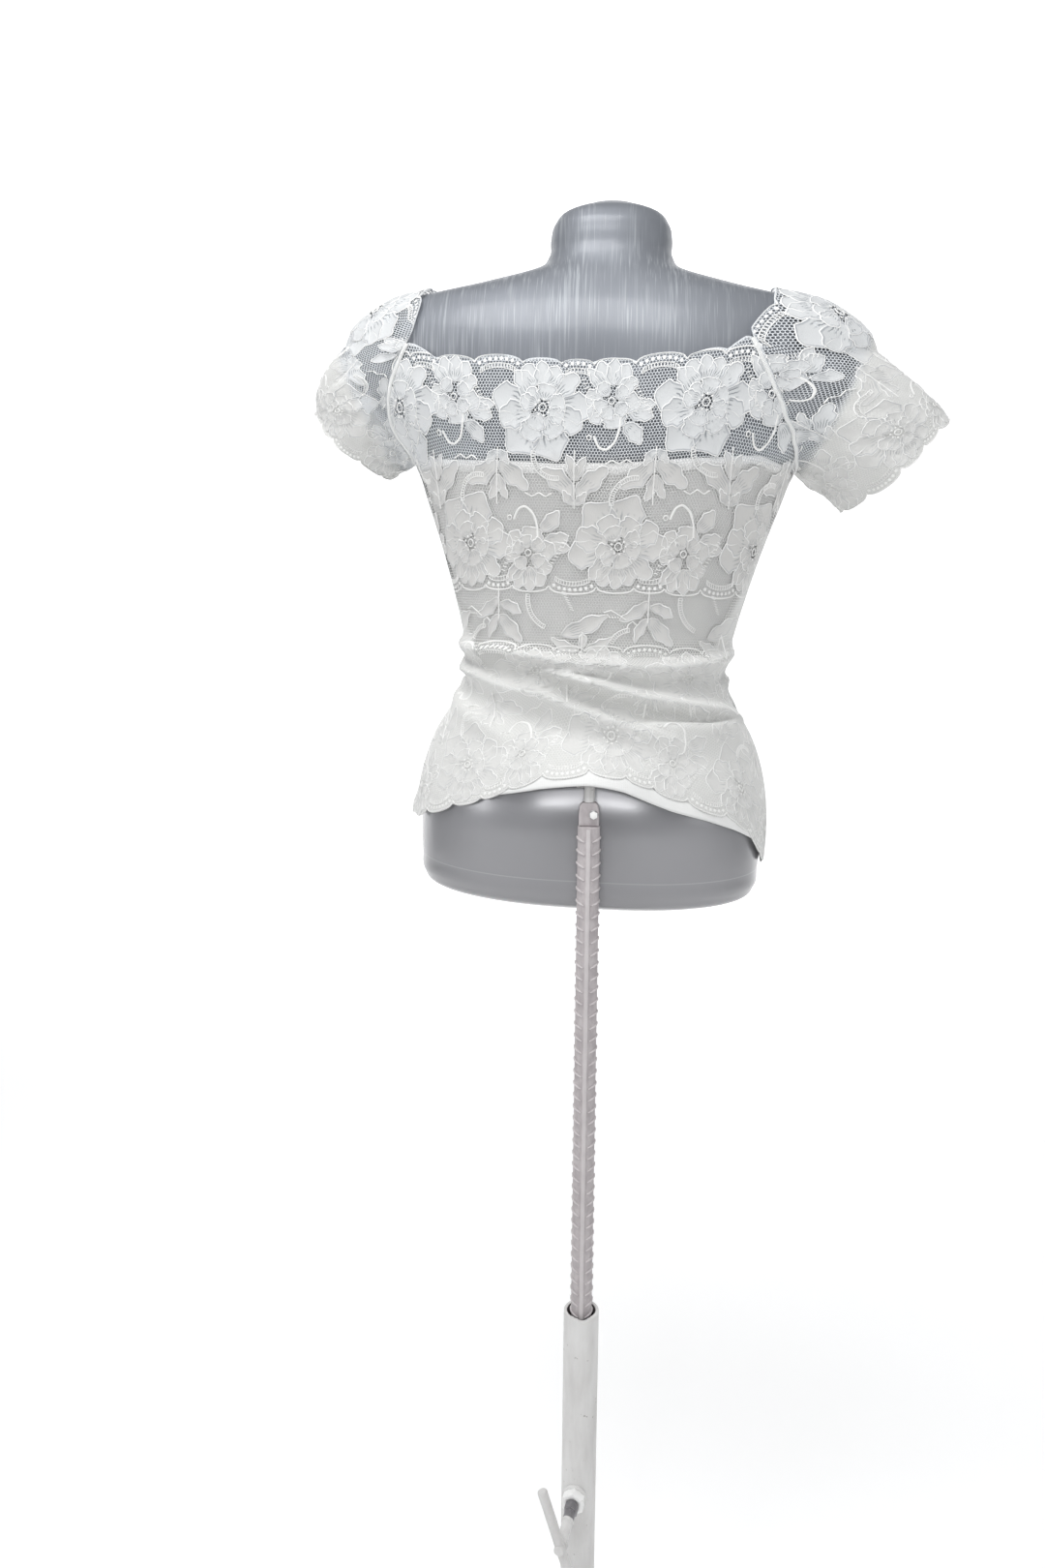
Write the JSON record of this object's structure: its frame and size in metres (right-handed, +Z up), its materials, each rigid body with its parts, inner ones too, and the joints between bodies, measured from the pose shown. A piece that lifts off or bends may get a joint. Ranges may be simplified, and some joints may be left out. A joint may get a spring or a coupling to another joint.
{
  "type": "lace top on dress form stand",
  "caption": "Short wide-necked lace top with short flared sleeves and a strapless lining, worn by a limbless dress form on a height-adjustable stand.",
  "frame": {"origin": "on the floor under the stand's mast, in the base plate's flat underside", "axes": "+Z up, -Y the garment's front, +X its wearer's left"},
  "size_m": [0.5701, 0.42, 1.5949],
  "materials": {
    "lace": "white stretch lace, floral motifs outlined by a raised cord on a fine net, half matt",
    "lining_knit": "white stretch jersey with a soft sheen",
    "silver_plastic": "silver-grey moulded plastic, streaked by brushing on the shoulders and glossy at the hips",
    "white_steel": "white paint, worn thin on edges and ribs",
    "bare_steel": "grey zinc-plated steel, dull"
  },
  "bodies": {
    "stand": {"base_plate": "white_steel", "outer_tube": "white_steel", "clamp_nut": "white_steel"},
    "mast": {"ribbed_bar": "white_steel", "lug": "white_steel", "lug_bolt": "bare_steel"},
    "form": {"dress_form": "silver_plastic", "form_plate": "white_steel", "hook_rod": "white_steel", "lace_back": "lace", "lace_front": "lace", "sleeve_left": "lace", "sleeve_right": "lace", "lining_back": "lining_knit", "lining_front": "lining_knit"},
    "clamp": {"clamp_screw": "bare_steel"}
  },
  "joints": [
    {"name": "mast_slide", "type": "slide", "parent": "stand", "child": "mast", "axis": [0, 0, 1], "range_m": [-0.13, 0.24]},
    {"name": "form_swivel", "type": "hinge", "parent": "mast", "child": "form", "pos_m": [0, 0, 1.09], "axis": [0, 0, 1], "range_deg": [-90, 90]},
    {"name": "clamp_turn", "type": "hinge", "parent": "stand", "child": "clamp", "pos_m": [0, 0, 0.4385], "axis": [0.1908, 0.9816, 0], "range_deg": [0, 350]}
  ]
}
